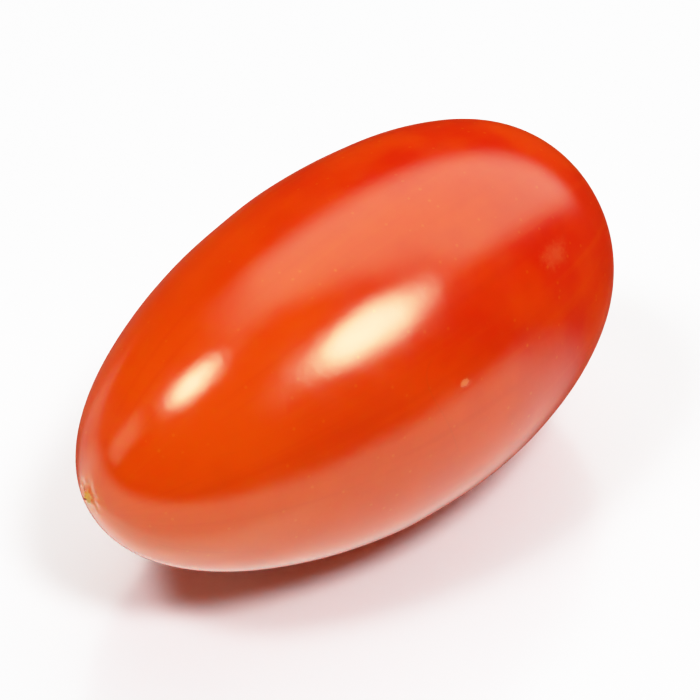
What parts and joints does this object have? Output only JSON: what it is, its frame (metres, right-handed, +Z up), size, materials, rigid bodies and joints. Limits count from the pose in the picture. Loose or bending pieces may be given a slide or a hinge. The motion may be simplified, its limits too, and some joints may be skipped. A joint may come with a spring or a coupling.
{
  "type": "cherry tomato",
  "caption": "Whole ripe elongated cherry tomato lying on its side, with a corky stem scar at its broad end and a small blossom scar at its narrow end.",
  "frame": {"origin": "centre of the fruit's box in X and Y, at the height of the surface that it lies on", "axes": "+X along the fruit towards its stem end, +Z up; the blossom end points along -X"},
  "size_m": [0.0428, 0.024, 0.0239],
  "materials": {
    "skin": "smooth glossy ripe tomato skin, orange red, paler orange and yellow green at the two scars"
  },
  "bodies": {
    "root": {"tomato": "skin"}
  },
  "joints": []
}
